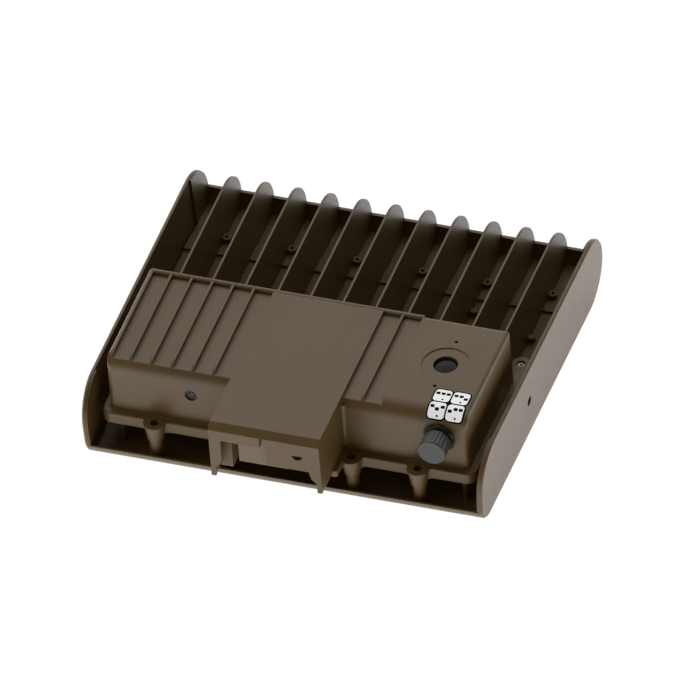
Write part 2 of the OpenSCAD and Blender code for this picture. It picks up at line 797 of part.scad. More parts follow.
module bracket_screws() {
    color(steel) placed() for (x = bracket_xs)
        screw_up(x, bracket_fix_y, bracket_top - bracket_t, 2 - fit, bracket_t + 6, 4, 3);
}

module terminal_block() {
    y = lead_y - terminal_gap - terminal[1];
    color(white) placed() translate([-terminal[0] / 2, y, base_top]) difference() {
        cube(terminal);
        for (i = [0 : 4]) {
            translate([4.5 + i * 8.2, 6, 6]) cylinder(r = 2.4, h = 20);
            translate([4.5 + i * 8.2, -over, 6.5]) rotate([-90, 0, 0]) cylinder(r = 2, h = 8);
        }
        for (i = [0 : 3]) translate([8.2 + i * 8.2, -over, 9]) cube([0.8, 30, 20]);
    }
}

module earth_screw() {
    color(steel) placed() screw_down(boss_pick[fin_side], fin_start + boss_in, floor_z + boss_h,
        frame_screw_r - fit, 5.5, 2.4, 2);
}

module wire_bushes() {
    color(rubber) placed() for (s = [-1, 1])
        translate([s * (channel_w / 2 - box_wall / 2), box_mid_y, flange_z + 8])
            rotate([0, 90, 0]) difference() {
                union() {
                    cylinder(r = bush_r - fit, h = box_wall, center = true);
                    for (t = [-1, 1]) translate([0, 0, t * (box_wall / 2 + 0.75)])
                        cylinder(r = bush_r + 2, h = 1.5, center = true);
                }
                cylinder(r = 3.5, h = 20, center = true);
            }
}

module led_driver() {
    w = inner_w / 2 - channel_w / 2 - 4 * tie_r - 6;
    l = inner_len - 26;
    color(black) placed() translate([-(inner_w + channel_w) / 4, box_mid_y, base_top]) difference() {
        union() {
            rolled_slab(w, l, driver_h, 6, 3);
            both_sides() translate([w / 2 - 10, 0, 0]) round_block(12, l + 20, 3, 3);
        }
        for (sx = [-1, 1], sy = [-1, 1]) translate([sx * (w / 2 - 10), sy * (l / 2 + 5), -over])
            cylinder(r = 2.2, h = 6);
    }
}

module surge_protector() {
    x = (inner_w + channel_w) / 4;
    color([0.85, 0.85, 0.83]) placed() translate([x, box_back - surge_in, base_top]) {
        rolled_slab(surge[0], surge[1], surge[2], 4, 2);
        round_block(surge[0] + 14, 14, 2.5, 3);
    }
}

module breather() {
    color([0.3, 0.32, 0.36]) placed() difference() {
        union() {
            y_rod(vent_d / 2 - fit, box_front + 1.6, box_front + box_wall, -vent_x, port_z - 3);
            y_rod(vent_d / 2 + 2, box_front + box_wall, box_front + box_wall + 4, -vent_x, port_z - 3);
        }
        for (a = [0 : 60 : 359]) y_rod(0.7, box_front, box_front + 3,
            -vent_x + 2.6 * cos(a), port_z - 3 + 2.6 * sin(a));
    }
}

// Black domed plug that closes the sensor opening from inside
module sensor_plug() {
    r = sensor_d / 2 - fit;
    color(black) placed() translate([sensor_x, sensor_y, 0]) {
        translate([0, 0, roof_bottom - 3]) cylinder(r = r + 4, h = 3);
        intersection() {
            translate([0, 0, roof_bottom - over]) cylinder(r = r, h = box_top - roof_bottom);
            translate([0, 0, box_top - 1.4 - dome_r]) sphere(r = dome_r);
        }
    }
}

module port_seal() {
    color(rubber) placed() difference() {
        y_rod(hex_w / 2 - 2, port_wall - port_seal_t, port_wall, port_x, port_z);
        y_rod(port_d / 2 + 0.2, port_wall - port_seal_t - over, port_wall + over, port_x, port_z);
    }
}

module selector_port() {
    hex_r = hex_w / 2 / cos(30);
    color(black) placed() difference() {
        union() {
            translate([port_x, port_wall - port_seal_t, port_z]) rotate([90, 30, 0])
                cylinder(r = hex_r, h = hex_t, $fn = 6);
            y_rod(port_d / 2, spigot_end, port_wall + 12, port_x, port_z);
        }
        y_rod(port_bore / 2, spigot_end - over, board_y + 1.2, port_x, port_z);
        y_rod(port_bore / 2 - 1.8, spigot_end, port_wall + 13, port_x, port_z);
    }
}

module port_nut() {
    color(black) placed() difference() {
        translate([port_x, port_wall + 12, port_z]) rotate([90, 0, 0]) cylinder(r = 13, h = 4, $fn = 6);
        y_rod(port_d / 2 + fit, port_wall, port_wall + 13, port_x, port_z);
    }
}

module cap_seal() {
    color(rubber) placed() difference() {
        y_rod(cap_d / 2 - 0.8, cap_y, hex_y, port_x, port_z);
        y_rod(port_d / 2 + fit, cap_y - over, hex_y + over, port_x, port_z);
    }
}

// Ribbed cap: grooves are cut round its rim by one loop
module selector_cap() {
    grooves = 20;
    color(black) placed() translate([port_x, cap_y, port_z]) rotate([90, 0, 0]) difference() {
        union() {
            cylinder(d = cap_d, h = cap_len - 0.8);
            cylinder(d = cap_d - 1.6, h = cap_len);
        }
        translate([0, 0, -over]) cylinder(r = port_d / 2 + fit, h = spigot_len + 4);
        for (i = [0 : grooves - 1]) rotate([0, 0, i * 360 / grooves])
            translate([cap_d / 2 + 0.35, 0, 2]) cylinder(r = 0.9, h = cap_len - 4, $fn = 16);
    }
}

module selector_board() {
    color([0.1, 0.35, 0.18]) placed() difference() {
        y_rod(port_bore / 2 - fit, board_y, board_y + 1.2, port_x, port_z);
        for (s = [-1, 1]) y_rod(0.6, board_y - over, board_y + 3, port_x + 4.8 * s, port_z);
    }
}

lever_xs = [for (i = [-1 : 1]) port_x + i * lever_gap];

module selector_block() {
    slot_h = lever_h + lever_travel + 2 * 0.1;
    color([0.65, 0.1, 0.08]) placed() difference() {
        block(port_x - switch_w / 2, port_x + switch_w / 2, switch_y, board_y,
            port_z - switch_h / 2, port_z + switch_h / 2);
        for (x = lever_xs) block(x - lever_w / 2 - 0.1, x + lever_w / 2 + 0.1,
            switch_y - over, switch_y + 1.5, port_z - slot_h / 2, port_z + slot_h / 2);
    }
}

module selector_lever(i) {
    z0 = port_z - lever_travel / 2 - lever_h / 2;
    color(white) placed() block(lever_xs[i] - lever_w / 2, lever_xs[i] + lever_w / 2,
        switch_y - 0.9, switch_y + 1.4, z0, z0 + lever_h);
}

module selector_lever_1() {
    selector_lever(0);
}

module selector_lever_2() {
    selector_lever(1);
}

module selector_lever_3() {
    selector_lever(2);
}

// Label sheet that lies on the top and bends down over the brow
module setting_label() {
    color(white) placed() along_x(label_mid_x - label_w / 2, label_mid_x + label_w / 2) {
        translate([box_front + brow_r, box_top + label_lift])
            square([label_top_y - box_front - brow_r, label_t]);
        translate([box_front + brow_r, box_top - brow_r]) intersection() {
            difference() {
                circle(r = brow_r + label_lift + label_t);
                circle(r = brow_r + label_lift);
            }
            polygon([[0, 0], [0, 2 * brow_r], [-2 * brow_r * tan(label_turn), 2 * brow_r]]);
        }
    }
}

module led_board(s) {
    color([0.9, 0.9, 0.88]) placed() difference() {
        translate([s * board_x, chamber_mid, board_z]) round_block(board_w, board_len, board_t, 3);
        for (x = boss_pick, y = boss_ys) translate([x, y, board_z - over])
            cylinder(r = frame_screw_r + 0.2, h = board_t + 2 * over);
    }
}

module led_board_left() {
    led_board(-1);
}

module led_board_right() {
    led_board(1);
}

module led_chips(s) {
    color([0.95, 0.8, 0.25]) placed() for (x = lens_xs, y = lens_ys)
        translate([s * board_x + x, y, board_z - chip_t / 2]) cube([3.5, 3.5, chip_t], center = true);
}

module led_chips_left() {
    led_chips(-1);
}

module led_chips_right() {
    led_chips(1);
}

module board_screws() {
    color(steel) placed() for (x = boss_pick, y = boss_ys)
        if (abs(x) > frame_bar / 2 + 6 && y < chamber_y + chamber_len - 6 && y > chamber_y + 6)
            screw_up(x, y, board_z, frame_screw_r - fit, board_t + floor_t - 1, 2.3, 1.6);
}

// Clear plate on a low rim, with one dome under each light source
module optic(s) {
    dome_r = (lens_d * lens_d / 4 + lens_sag * lens_sag) / (2 * lens_sag);
    color(clear) placed() {
        translate([s * optic_x, chamber_mid, 0]) difference() {
            translate([0, 0, optic_low]) round_block(optic_w, optic_len, board_z - optic_low, 4);
            translate([0, 0, optic_low + optic_t]) round_block(optic_w - 3, optic_len - 3, 10, 3);
        }
        for (x = lens_xs, y = lens_ys) translate([s * optic_x + x, y, optic_low]) intersection() {
            translate([0, 0, dome_r - lens_sag]) sphere(r = dome_r);
            translate([0, 0, -lens_sag]) cylinder(d = lens_d, h = lens_sag + 0.5);
        }
    }
}

module optic_left() {
    optic(-1);
}

module optic_right() {
    optic(1);
}

module window_cuts(grow) {
    w = board_w - 6 + 2 * grow;
    l = board_len - 6 + 2 * grow;
    for (s = [-1, 1]) translate([s * optic_x, chamber_mid, 0]) round_block(w, l, 20, 5);
}

module optic_gasket() {
    color(rubber) placed() difference() {
        translate([0, chamber_mid, frame_top])
            round_block(2 * optic_x + optic_w - 1, optic_len, gasket_t, 4);
        window_cuts(0);
    }
}

module optic_frame() {
    color(bronze) placed() difference() {
        translate([0, chamber_mid, frame_low])
            round_block(chamber_w - 2 * gap, chamber_len - 2 * gap, frame_t, 1);
        window_cuts(0);
        for (x = frame_xs, y = frame_ys) translate([x, y, 0]) cylinder(r = frame_screw_r + 0.2, h = 20);
    }
}

module frame_screws() {
    color(steel) placed() for (x = frame_xs, y = frame_ys)
        screw_up(x, y, frame_low, frame_screw_r - fit, chamber_top - frame_low + floor_t - 1.5, 3, 1.8);
}

// Bush that takes the lamp leads from the box down into the chamber
module led_lead_gland() {
    color(rubber) placed() translate([lead_x, lead_y, 0]) difference() {
        union() {
            translate([0, 0, lead_z]) cylinder(r = lead_r - fit, h = base_top + 2 - lead_z);
            translate([0, 0, floor_z]) cylinder(r = lead_r + 1.9, h = base_bottom - floor_z);
            translate([0, 0, base_top]) cylinder(r = lead_r + 1.9, h = 2);
        }
        translate([0, 0, lead_z - over]) cylinder(r = lead_r - 1.4, h = flange_z - lead_z);
    }
}

heat_sink_housing();
driver_box();
box_gasket();
box_base_plate();
base_plate_screws();
ear_screws();
arm_slot_plate();
slot_plate_screws();
arm_bracket();
bracket_screws();
terminal_block();
earth_screw();
wire_bushes();
led_driver();
surge_protector();
breather();
sensor_plug();
port_seal();
selector_port();
port_nut();
cap_seal();
selector_cap();
selector_board();
selector_block();
selector_lever_1();
selector_lever_2();
selector_lever_3();
setting_label();
led_board_left();
led_board_right();
led_chips_left();
led_chips_right();
board_screws();
optic_left();
optic_right();
optic_gasket();
optic_frame();
frame_screws();
led_lead_gland();
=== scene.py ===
import bmesh
import bpy
import numpy as np
from mathutils import Matrix, Vector


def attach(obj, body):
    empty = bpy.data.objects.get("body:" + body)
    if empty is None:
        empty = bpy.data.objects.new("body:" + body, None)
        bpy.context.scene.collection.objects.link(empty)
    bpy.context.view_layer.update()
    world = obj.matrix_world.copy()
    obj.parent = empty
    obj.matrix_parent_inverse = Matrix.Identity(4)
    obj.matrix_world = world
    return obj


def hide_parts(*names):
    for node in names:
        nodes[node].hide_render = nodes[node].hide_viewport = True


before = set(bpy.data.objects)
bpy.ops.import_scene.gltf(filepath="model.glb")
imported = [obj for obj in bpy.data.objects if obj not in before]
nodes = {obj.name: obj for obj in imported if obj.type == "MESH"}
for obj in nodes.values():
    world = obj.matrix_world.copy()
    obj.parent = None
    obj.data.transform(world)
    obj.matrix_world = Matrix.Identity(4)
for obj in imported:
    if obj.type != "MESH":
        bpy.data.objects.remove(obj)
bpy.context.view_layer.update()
bpy.context.scene.view_settings.view_transform = "Standard"
print("frame: loaded", len(nodes), "nodes")

# camera: seen from above, in front and a little to the right, without perspective
camera = {"scale": 0.5688, "aim": (0.03187, -0.04641, 0.08636), "reach": 1.6, "far": 20,
          "right": (0.9458, 0.3182, -0.0656), "back": (0.2806, -0.6980, 0.6589)}


def makeCamera(c):
    data = bpy.data.cameras.new("camera")
    data.type = "ORTHO"
    data.ortho_scale = c["scale"]
    data.clip_end = c["far"]
    data.dof.use_dof = False
    obj = bpy.data.objects.new("camera", data)
    bpy.context.scene.collection.objects.link(obj)
    back = Vector(c["back"]).normalized()
    right = Vector(c["right"])
    right = (right - back * right.dot(back)).normalized()
    up = back.cross(right)
    turn = Matrix((right, up, back)).transposed().to_4x4()
    obj.matrix_world = Matrix.Translation(Vector(c["aim"]) + back * c["reach"]) @ turn
    bpy.context.scene.camera = obj


makeCamera(camera)
print("camera: placed")


# one output of a node tree, so that shader maths reads as plain maths
class Wire:
    def __init__(self, sheet, socket):
        self.sheet = sheet
        self.socket = socket

    def maths(self, operation, first, second):
        return self.sheet.add("ShaderNodeMath", {"operation": operation}, {0: first, 1: second})

    def __add__(self, other):
        return self.maths("ADD", self, other)

    def __radd__(self, other):
        return self.maths("ADD", other, self)

    def __sub__(self, other):
        return self.maths("SUBTRACT", self, other)

    def __rsub__(self, other):
        return self.maths("SUBTRACT", other, self)

    def __mul__(self, other):
        return self.maths("MULTIPLY", self, other)

    def __rmul__(self, other):
        return self.maths("MULTIPLY", other, self)

    def clamped(self):
        return self.sheet.add("ShaderNodeClamp", {}, {"Value": self})


class Sheet:
    def __init__(self, tree):
        self.tree = tree
        tree.nodes.clear()

    def add(self, kind, settings, inputs, output=0):  # the node's type, its settings, its sockets
        node = self.tree.nodes.new(kind)
        for key, value in settings.items():
            setattr(node, key, value)
        for key, value in inputs.items():
            socket = node.inputs[key]
            if isinstance(value, Wire):
                self.tree.links.new(value.socket, socket)
            else:
                socket.default_value = (*value, 1) if socket.type == "RGBA" else value
        return Wire(self, node.outputs[output] if node.outputs else None)

    def place(self):  # object coordinates in metres
        return self.add("ShaderNodeTexCoord", {}, {}, "Object")

    def noise(self, scale, detail=2.0, rough=0.5, vector=None):
        return self.add("ShaderNodeTexNoise", {}, {"Vector": vector or self.place(), "Scale": scale,
                                                   "Detail": detail, "Roughness": rough})

    def mix(self, share, one, other):  # sockets 6 and 7 are the two colours, output 2 the mixed one
        return self.add("ShaderNodeMix", {"data_type": "RGBA"}, {0: share, 6: one, 7: other}, 2)

    def dot(self, one, other):
        return self.add("ShaderNodeVectorMath", {"operation": "DOT_PRODUCT"}, {0: one, 1: other}, "Value")

    def spread(self, value, low, high, fromLow=0.3, fromHigh=0.7):  # a value moved from one span to another
        return self.add("ShaderNodeMapRange", {}, {"Value": value, "From Min": fromLow, "From Max": fromHigh,
                                                   "To Min": low, "To Max": high})

    def bump(self, height, depth, strength, normal=None):
        inputs = {"Height": height, "Distance": depth, "Strength": strength}
        if normal:
            inputs["Normal"] = normal
        return self.add("ShaderNodeBump", {}, inputs)


def linear(*rgb):  # a colour as a screen shows it, 0 to 255, to the shader's numbers
    parts = np.array(rgb, float) / 255
    curved = ((parts + 0.055) / 1.055) ** 2.4
    return tuple(float(v) for v in np.where(parts > 0.04045, curved, parts / 12.92))


def newMaterial(name, surface, c):
    material = bpy.data.materials.new(name)
    material.use_nodes = True
    sheet = Sheet(material.node_tree)
    shader = sheet.add("ShaderNodeBsdfPrincipled", {}, {**c.get("fixed", {}), **surface(sheet, c)})
    sheet.add("ShaderNodeOutputMaterial", {}, {"Surface": shader})
    return material


# dark bronze powder coat: fine orange peel, faint clouding, softened and slightly polished edges, along
# which a paler colour is mixed in as a painted highlight
# clouds, peel and grain give a noise's scale, detail and roughness; speckle and rough are spans for spread
coat = {"colour": (85, 64, 25), "deep": (79, 58, 20), "edge": (100, 80, 46), "clouds": (14, 3),
        "peel": (900, 2, 0.45), "peelDepth": 0.00006, "peelStrength": 0.5, "grain": (3200, 1),
        "grainDepth": 0.00002, "grainStrength": 0.4, "speckle": (0, 0.35, 0.35, 0.75),
        "rough": (0.36, 0.5), "edgeWidth": 0.0007, "edgeSamples": 6, "edgeGain": 4, "edgeHighlightShare": 0.25,
        "edgePolish": 0.06, "fixed": {"Metallic": 0.0, "IOR": 1.5}}
# the same powder coat on the slot plate, painted paler and greyer as a painted reflection of its recessed
# face
coats = {"bronzeCoat": coat, "sheetCoatPaintedPale": {**coat, "colour": (97, 83, 60), "deep": (91, 77, 54)}}


def coatSurface(s, c):
    peel = s.noise(*c["peel"])
    grain = s.noise(*c["grain"])
    soft = s.add("ShaderNodeBevel", {"samples": c["edgeSamples"]}, {"Radius": c["edgeWidth"]})
    along = s.dot(soft, s.add("ShaderNodeNewGeometry", {}, {}, "Normal"))
    edge = ((1 - along) * c["edgeGain"]).clamped()
    body = s.mix(s.spread(s.noise(*c["clouds"]), 0, 1), linear(*c["colour"]), linear(*c["deep"]))
    spots = s.mix(s.spread(grain, *c["speckle"]), body, linear(*c["deep"]))
    heights = s.bump(peel, c["peelDepth"], c["peelStrength"], soft)
    # the paler edge colour mixed into the base colour along edges is a painted highlight; the lower
    # roughness there is the polish
    return {"Base Color": s.mix(edge * c["edgeHighlightShare"], spots, linear(*c["edge"])),
            "Roughness": s.spread(peel, *c["rough"]) - edge * c["edgePolish"],
            "Normal": s.bump(grain, c["grainDepth"], c["grainStrength"], heights)}


# every other finish: two colours mixed by clouds, with roughness and bump from a finer grain
# clouds and polish stand in for the grain where a finish has them; bump is its depth in metres and strength
nylon = {"clouds": (30, 2), "blend": (0, 0.8), "grain": (2600, 2), "rough": (0.42, 0.56),
         "bump": (0.00002, 0.5), "fixed": {"IOR": 1.5}}
printed = {"blend": (0, 1), "grain": (1200, 2), "rough": (0.3, 0.42), "bump": (0.000006, 0.3)}
grains = {
    "zincSteel": {"colours": ((176, 176, 172), (188, 178, 150)), "clouds": (90, 3), "blend": (0, 0.6),
                  "grain": (2600, 2, 0.6), "stretch": (1, 0.06, 1), "rough": (0.24, 0.42),
                  "bump": (0.00001, 0.3), "fixed": {"Metallic": 1.0}},
    "drawnAluminium": {"colours": ((190, 192, 194), (150, 152, 154)), "blend": (0, 0.5),
                       "grain": (1800, 2, 0.6), "stretch": (0.05, 1, 1), "rough": (0.28, 0.45),
                       "bump": (0.00001, 0.25), "fixed": {"Metallic": 1.0}},
    "blackNylon": {**nylon, "colours": ((16, 16, 17), (11, 11, 12)), "rough": (0.36, 0.5),
                   "fixed": {"IOR": 1.36}},
    "capNylon": {**nylon, "colours": ((38, 38, 38), (32, 32, 32)), "rough": (0.3, 0.4),
                 "fixed": {"IOR": 1.53}},
    "greyNylon": {**nylon, "colours": ((86, 90, 97), (74, 78, 85))},
    "darkNylon": {**nylon, "colours": ((40, 41, 44), (33, 34, 37)), "fixed": {"IOR": 1.45}},
    "whiteNylon": {**nylon, "colours": ((226, 225, 220), (212, 211, 206))},
    "redSwitch": {**nylon, "colours": ((166, 38, 30), (146, 30, 24)), "rough": (0.3, 0.42)},
    "glossBlack": {"colours": ((9, 9, 10), (14, 14, 16)), "blend": (0, 1), "grain": (90, 2),
                   "polish": (700, 2), "rough": (0.14, 0.24), "bump": (0.00005, 0.2),
                   "fixed": {"IOR": 1.23}},
    "sealRubber": {"colours": ((34, 34, 35), (66, 65, 63)), "clouds": (60, 4), "blend": (0, 0.5, 0.45, 0.8),
                   "grain": (1500, 3), "rough": (0.68, 0.85), "bump": (0.00004, 0.5)},
    "greenBoard": {"colours": ((24, 84, 48), (34, 104, 60)), "blend": (0, 0.3, 0, 1), "weave": 500.0,
                   "polish": (400, 2), "rough": (0.25, 0.4), "bump": (0.000008, 0.3)},
    "whiteBoard": {"colours": ((232, 232, 228), (215, 215, 210)), "blend": (0, 0.5), "grain": (700, 2),
                   "rough": (0.3, 0.45), "bump": (0.00001, 0.3)},
    "phosphor": {"colours": ((236, 204, 92), (222, 184, 66)), "blend": (0, 1), "grain": (5200, 2),
                 "rough": (0.35, 0.55), "bump": (0.00003, 0.5)},
    "clearLens": {"grain": (60, 2), "rough": (0.03, 0.08), "bump": (0.00004, 0.2),
                  "fixed": {"Transmission Weight": 1.0, "IOR": 1.49, "Base Color": (0.97, 0.98, 0.99)}},
    "whitePrint": {**printed, "colours": ((253, 253, 253), (248, 248, 248))},
    "blackPrint": {**printed, "colours": ((2, 2, 2), (6, 6, 6)), "fixed": {"Specular IOR Level": 0.02}},
}


def grainSurface(s, c):
    place = s.place()
    if "stretch" in c:  # drawn out into brush lines
        place = s.add("ShaderNodeMapping", {}, {"Vector": place, "Scale": c["stretch"]})
    if "weave" in c:  # the laminate's weave under a solder mask
        grain = s.add("ShaderNodeTexWave", {"bands_direction": "X"}, {"Vector": place, "Scale": c["weave"]})
    else:
        grain = s.noise(*c["grain"], vector=place)
    clouds = s.noise(*c["clouds"]) if "clouds" in c else grain
    polish = s.noise(*c["polish"]) if "polish" in c else grain
    wires = {"Roughness": s.spread(polish, *c["rough"]), "Normal": s.bump(grain, *c["bump"])}
    if "colours" in c:
        one, other = (linear(*rgb) for rgb in c["colours"])
        wires["Base Color"] = s.mix(s.spread(clouds, *c["blend"]), one, other)
    return wires


finishes = {name: newMaterial(name, coatSurface, c) for name, c in coats.items()}
finishes.update({name: newMaterial(name, grainSurface, c) for name, c in grains.items()})
print("finishes:", len(finishes))

nodeFinish = {
    "bronzeCoat": ["heat_sink_housing", "driver_box", "optic_frame", "box_base_plate", "arm_bracket"],
    "sheetCoatPaintedPale": ["arm_slot_plate"],
    "zincSteel": ["base_plate_screws", "ear_screws", "slot_plate_screws", "bracket_screws", "earth_screw",
                  "board_screws", "frame_screws"],
    "drawnAluminium": ["led_driver"],
    "sealRubber": ["box_gasket", "wire_bushes", "port_seal", "cap_seal", "optic_gasket", "led_lead_gland"],
    "blackNylon": ["selector_port", "port_nut"],
    "capNylon": ["selector_cap"],
    "glossBlack": ["sensor_plug"],
    "greyNylon": ["surge_protector"],
    "darkNylon": ["breather"],
    "whiteNylon": ["terminal_block", "selector_lever_1", "selector_lever_2", "selector_lever_3"],
    "redSwitch": ["selector_block"],
    "greenBoard": ["selector_board"],
    "whiteBoard": ["led_board_left", "led_board_right"],
    "phosphor": ["led_chips_left", "led_chips_right"],
    "clearLens": ["optic_left", "optic_right"],
    "whitePrint": ["setting_label"],
}
for finish, names in nodeFinish.items():
    for name in names:
        nodes[name].data.materials.clear()
        nodes[name].data.materials.append(finishes[finish])
print("frame: finishes assigned")


def meshPiece(name, points, faces, finish, body, smooth=True):
    mesh = bpy.data.meshes.new(name)
    mesh.from_pydata(points.tolist(), [], faces.tolist())
    work = bmesh.new()  # closes seams and poles and turns every face outward
    work.from_mesh(mesh)
    bmesh.ops.remove_doubles(work, verts=work.verts, dist=2e-6)
    bmesh.ops.dissolve_degenerate(work, edges=work.edges, dist=1e-7)
    bmesh.ops.recalc_face_normals(work, faces=work.faces)
    work.to_mesh(mesh)
    work.free()
    mesh.polygons.foreach_set("use_smooth", np.full(len(mesh.polygons), smooth))
    mesh.materials.append(finishes[finish])
    obj = bpy.data.objects.new(name, mesh)
    bpy.context.scene.collection.objects.link(obj)
    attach(obj, body)
    return obj


def gridFaces(rows, columns):  # quads between neighbouring rows; each row closes on itself
    r, c = np.meshgrid(np.arange(rows - 1), np.arange(columns), indexing="ij")
    one = r * columns + c
    two = r * columns + (c + 1) % columns
    return np.stack([one, two, two + columns, one + columns], -1).reshape(-1, 4)


# setting label: four white rounded squares in a black film that follows the top and its brow
label = {"columns": (0.01545, 0.01545), "rows": (0.0154, 0.0166), "rim": 0.0007, "edge": 0.0006,
         "round": 0.0038, "film": 0.00012, "sunk": 0.00005, "fieldLift": 0.00005, "inkLift": 0.0001,
         "middle": 0.1351, "topY": -0.0837, "flat": 0.017, "browR": 0.0141, "height": 0.0961,
         "markW": 0.0034, "markH": 0.0029, "markRound": 0.0006, "markStep": 0.0044, "markTop": 0.0053,
         "markUp": 0.0024, "marks": ((1, 1, 1), (1, 1, 0), (1, 0, 1), (0, 1, 1)),
         "dot": 0.0018, "dotRound": 0.45, "dotUp": 0.0032, "dotAside": 0.0012,
         "cross": 0.008, "crossRound": 0.001, "crossUnder": 0.00001,
         "rings": (1.0, 1.0, 0.97, 0.85, 0.7, 0.5, 0.3, 0.15, 0.0), "rimPoints": 8}


def overBrow(across, down, lift):
    # a point at the distance down along the sheet lies on the flat top first, then on an arc of browR
    turn = np.clip((down - label["flat"]) / label["browR"], 0, None)
    flat = np.minimum(down, label["flat"])
    reach = label["browR"] + lift
    y = label["topY"] - flat - reach * np.sin(turn)
    z = label["height"] - label["browR"] + reach * np.cos(turn)
    return np.stack([label["middle"] + across, y, z], -1)


def roundedRim(size, corner):
    # four quarter arcs, with as many points along each straight side between them
    half = np.array(size) / 2 - corner
    side = np.array([(1, 1), (-1, 1), (-1, -1), (1, -1)])[:, None]
    turn = np.linspace(0, np.pi / 2, label["rimPoints"]) + np.arange(4)[:, None] * np.pi / 2
    arcs = side * half + corner * np.stack([np.cos(turn), np.sin(turn)], -1)
    share = np.linspace(0, 1, label["rimPoints"] + 2)[1:-1, None]
    sides = arcs[:, -1:] * (1 - share) + np.roll(arcs, -1, 0)[:, :1] * share
    return np.concatenate([arcs, sides], 1).reshape(-1, 2)


def roundedPatch(centre, size, corner, low, high):
    # rings of a rounded square, shrinking to its middle; the outermost ring drops to form the edge
    rim = roundedRim(size, corner)
    shares = np.array(label["rings"])
    lifts = np.array([low] + [high] * (len(shares) - 1))
    flat = np.array(centre) + shares[:, None, None] * rim[None]
    points = overBrow(flat[..., 0], flat[..., 1], np.broadcast_to(lifts[:, None], flat.shape[:2]))
    return points.reshape(-1, 3), gridFaces(len(shares), len(rim))


def makeLabel(c):
    film, white, black = [], [], []
    ink = (c["film"], c["film"] + c["inkLift"])
    for place, marks in enumerate(c["marks"]):
        wide, high = c["columns"][place % 2], c["rows"][place // 2]
        top = sum(c["rows"][:place // 2])
        centre = np.array([(place % 2 - 0.5) * wide, top + high / 2])
        outer = (wide + 2 * c["edge"], high + 2 * c["edge"])
        film.append(roundedPatch(centre, outer, c["round"] + c["edge"], -c["sunk"], c["film"]))
        inner = (wide - 2 * c["rim"], high - 2 * c["rim"])
        lifts = (c["film"], c["film"] + c["fieldLift"])
        white.append(roundedPatch(centre, inner, c["round"] - c["rim"], *lifts))
        for i, up in enumerate(marks):
            down = top + c["markTop"] + (0 if up else c["markUp"])
            spot = (centre[0] + (i - 1) * c["markStep"], down)
            black.append(roundedPatch(spot, (c["markW"], c["markH"]), c["markRound"], *ink))
        spot = (centre[0] + c["dotAside"], top + high - c["dotUp"])
        black.append(roundedPatch(spot, (c["dot"], c["dot"]), c["dot"] * c["dotRound"], *ink))
    # a small patch under the film closes the star between the four rounded corners
    cross = (c["cross"], c["cross"])
    lifts = (-c["sunk"], c["film"] - c["crossUnder"])
    film.append(roundedPatch((0, c["rows"][0]), cross, c["crossRound"], *lifts))
    return {"settingLabelFilm": film, "settingLabelFields": white, "settingLabelMarks": black}


def islands(node):
    # boxes of a node's separate solids: every point takes the lowest number that its triangles reach
    mesh = nodes[node].data
    points = np.empty(len(mesh.vertices) * 3)
    mesh.vertices.foreach_get("co", points)
    corners = np.empty(len(mesh.loops), int)
    mesh.loops.foreach_get("vertex_index", corners)
    points, same = np.unique(points.reshape(-1, 3).round(7), axis=0, return_inverse=True)
    triangles = same.reshape(-1)[corners].reshape(-1, 3)
    group = np.arange(len(points))
    while True:
        low = group[triangles].min(1)
        fresh = group.copy()
        for corner in range(3):
            np.minimum.at(fresh, triangles[:, corner], low)
        if (fresh == group).all():
            break
        group = fresh
    return [(points[group == g].min(0), points[group == g].max(0)) for g in np.unique(group)]


def joined(parts):
    points, faces, start = [], [], 0
    for p, f in parts:
        points.append(p)
        faces.append(f + start)
        start += len(p)
    return np.concatenate(points), np.concatenate(faces)


for name, parts in makeLabel(label).items():
    points, faces = joined(parts)
    finish = "whitePrint" if name.endswith("Fields") else "blackPrint"
    piece = meshPiece(name, points, faces, finish, "housing")
    if name.endswith("Film"):
        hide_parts("setting_label")
print("label: made")

# screws: low rounded heads with a six-lobed recess, on the places and sizes of the frame's own screws
# each kind has its axis, the side that its heads are on and the height of its heads
screws = {"lobes": 6, "steps": 48, "recess": 0.5, "wave": 0.11, "deep": 0.55, "shank": 0.5,
          "recessRows": (0, 0.86, 0.97, 1.05), "recessLip": 0.97, "crown": 0.28, "crownFall": 0.5,
          "crownRows": 7, "edgeUp": 0.06, "seatIn": 0.97,
          "kinds": {"ear_screws": (2, 1, 0.003), "frame_screws": (2, -1, 0.0018),
                    "board_screws": (2, -1, 0.0016), "base_plate_screws": (2, -1, 0.002),
                    "bracket_screws": (2, -1, 0.003), "earth_screw": (2, 1, 0.002),
                    "slot_plate_screws": (1, 1, 0.0018)}}


def screwShape(c, low, high, axis, side, head):
    # radius(turn, row): a lobed recess, then a crowned head down to its seat, then a plain shank
    turns = np.linspace(0, 2 * np.pi, c["steps"], endpoint=False)
    across = [i for i in range(3) if i != axis]
    r = (high[across[0]] - low[across[0]]) / 2
    lobed = r * c["recess"] * (1 + c["wave"] * np.cos(c["lobes"] * turns))
    bend = np.linspace(0, np.pi / 2, c["crownRows"])
    crownR = r * (1 - c["crown"] + c["crown"] * np.sin(bend))
    crownH = head * (1 - c["crownFall"] + c["crownFall"] * np.cos(bend))
    shank = c["shank"] * r
    outer = np.array([*crownR, r, c["seatIn"] * r, shank, shank, 0])[:, None] + 0 * turns
    rows = np.concatenate([np.array(c["recessRows"])[:, None] * lobed, outer])
    total = high[axis] - low[axis] - head
    floor = head * (1 - c["deep"])
    ways = np.array([floor, floor, head * c["recessLip"], head, *crownH, head * c["edgeUp"], 0, 0,
                     -total, -total])
    seat = high[axis] - head if side > 0 else low[axis] + head
    middle = (low + high) / 2
    points = np.empty((*rows.shape, 3))
    points[..., across[0]] = middle[across[0]] + rows * np.cos(turns)
    points[..., across[1]] = middle[across[1]] + rows * np.sin(turns)
    points[..., axis] = seat + side * ways[:, None]
    faces = gridFaces(len(ways), c["steps"])
    return points.reshape(-1, 3), faces if (side > 0) == (axis == 1) else faces[:, ::-1]


